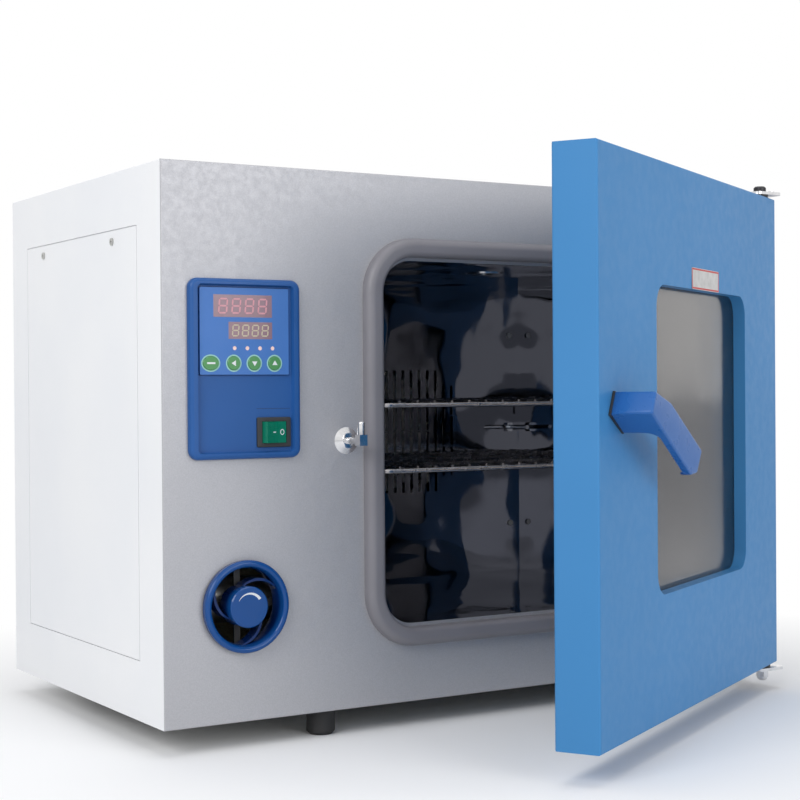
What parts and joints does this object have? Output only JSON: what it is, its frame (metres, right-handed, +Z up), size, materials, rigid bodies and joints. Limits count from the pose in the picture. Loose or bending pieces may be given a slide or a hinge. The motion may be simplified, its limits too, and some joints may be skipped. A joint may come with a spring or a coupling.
{
  "type": "forced-air drying oven",
  "caption": "Bench-top forced-air drying oven with a polished steel chamber, wire shelves, a windowed side-hung door with a lever latch, an air vent knob and a digital controller.",
  "frame": {"origin": "centre of the footprint at the level it stands on, the door 30 degrees open", "axes": "+Z up, +X to the right as seen from the front, +Y to the back"},
  "size_m": [0.6919, 0.7719, 0.538],
  "materials": {
    "white_paint": "textured powder coat",
    "silver_paint": "fine hammered silver paint",
    "blue_paint": "smooth powder coat",
    "polished_steel": "mirror polished stainless steel",
    "plated_steel": "zinc plated",
    "bright_steel": "chromed",
    "blue_plastic": "glossy moulding",
    "display_plastic": "printed film",
    "red_lens": "clear tinted window",
    "lamp_plastic": "diffuse lamp",
    "green_plastic": "moulded",
    "black_plastic": "moulded",
    "grey_silicone": "matte silicone",
    "black_rubber": "matte",
    "mineral_wool": "fibrous",
    "window_glass": "clear",
    "board_green": "solder mask",
    "motor_paint": "satin black",
    "bare_plate": "anodised",
    "hinge_black": "black oxide"
  },
  "bodies": {
    "cabinet": {"outer_casing": "white_paint", "service_cover": "white_paint", "pan_screws": "plated_steel", "front_panel": "silver_paint", "rear_panel": "white_paint", "base_pan": "plated_steel", "rubber_feet": "black_rubber", "chamber_liner": "polished_steel", "chamber_insulation": "mineral_wool", "back_baffle": "polished_steel", "door_gasket": "grey_silicone", "shelf_rails": "polished_steel", "fan_motor": "motor_paint", "motor_bracket": "plated_steel", "heating_element": "plated_steel", "temperature_sensor": "bright_steel", "control_bezel": "blue_plastic", "display_module": "display_plastic", "display_lenses": "red_lens", "indicator_lamps": "lamp_plastic", "control_board": "board_green", "rocker_frame": "black_plastic", "vent_cup": "black_plastic", "air_duct": "plated_steel", "striker": "bright_steel", "hinge_plate_top": "bright_steel", "hinge_plate_bottom": "bright_steel", "hinge_pin_top": "hinge_black", "hinge_pin_bottom": "bright_steel", "domed_nut": "bright_steel", "hinge_screws": "bright_steel", "motor_cover": "white_paint", "exhaust_pipe": "bright_steel", "power_inlet": "black_plastic", "fuse_holder": "black_plastic"},
    "door": {"door_skin": "blue_paint", "door_inner_panel": "blue_paint", "outer_glass": "window_glass", "inner_glass": "window_glass", "window_seal": "black_rubber", "door_insulation": "mineral_wool", "hinge_bushes": "black_plastic", "door_plate": "bare_plate"},
    "handle": {"handle_lever": "blue_plastic", "handle_pad": "blue_plastic", "handle_shaft": "plated_steel", "latch_cam": "plated_steel"},
    "vent": {"vent_knob": "blue_plastic", "air_flap": "plated_steel"},
    "power_rocker": {"rocker": "green_plastic"},
    "set_key": {"button_set": "green_plastic"},
    "left_key": {"button_left": "green_plastic"},
    "down_key": {"button_down": "green_plastic"},
    "up_key": {"button_up": "green_plastic"},
    "upper_shelf": {"shelf_upper": "bright_steel"},
    "lower_shelf": {"shelf_lower": "bright_steel"},
    "fan": {"fan_wheel": "plated_steel", "fan_shaft": "plated_steel"}
  },
  "joints": [
    {"name": "door_hinge", "type": "hinge", "parent": "cabinet", "child": "door", "pos_m": [0.322, -0.11003, 0.274], "axis": [0, 0, 1], "range_deg": [-30, 120]},
    {"name": "handle_turn", "type": "hinge", "parent": "door", "child": "handle", "pos_m": [-0.06185, -0.34319, 0.303], "axis": [0.5, -0.866, 0], "range_deg": [-62, 28]},
    {"name": "vent_knob_turn", "type": "hinge", "parent": "cabinet", "child": "vent", "pos_m": [-0.267, -0.06803, 0.128], "axis": [0, 1, 0], "range_deg": [0, 90]},
    {"name": "rocker_tilt", "type": "hinge", "parent": "cabinet", "child": "power_rocker", "pos_m": [-0.238, -0.07003, 0.2835], "axis": [0, 0, 1], "range_deg": [-20, 0]},
    {"name": "set_press", "type": "slide", "parent": "cabinet", "child": "set_key", "axis": [0, 1, 0], "range_m": [0, 0.001], "stiffness_N_per_m": 800},
    {"name": "left_press", "type": "slide", "parent": "cabinet", "child": "left_key", "axis": [0, 1, 0], "range_m": [0, 0.001], "stiffness_N_per_m": 800},
    {"name": "down_press", "type": "slide", "parent": "cabinet", "child": "down_key", "axis": [0, 1, 0], "range_m": [0, 0.001], "stiffness_N_per_m": 800},
    {"name": "up_press", "type": "slide", "parent": "cabinet", "child": "up_key", "axis": [0, 1, 0], "range_m": [0, 0.001], "stiffness_N_per_m": 800},
    {"name": "upper_shelf_slide", "type": "slide", "parent": "cabinet", "child": "upper_shelf", "axis": [0, -1, 0], "range_m": [0, 0.04]},
    {"name": "lower_shelf_slide", "type": "slide", "parent": "cabinet", "child": "lower_shelf", "axis": [0, -1, 0], "range_m": [0, 0.04]},
    {"name": "fan_spin", "type": "hinge", "parent": "cabinet", "child": "fan", "pos_m": [0.075, 0.27197, 0.271], "axis": [0, 1, 0], "continuous": true}
  ]
}
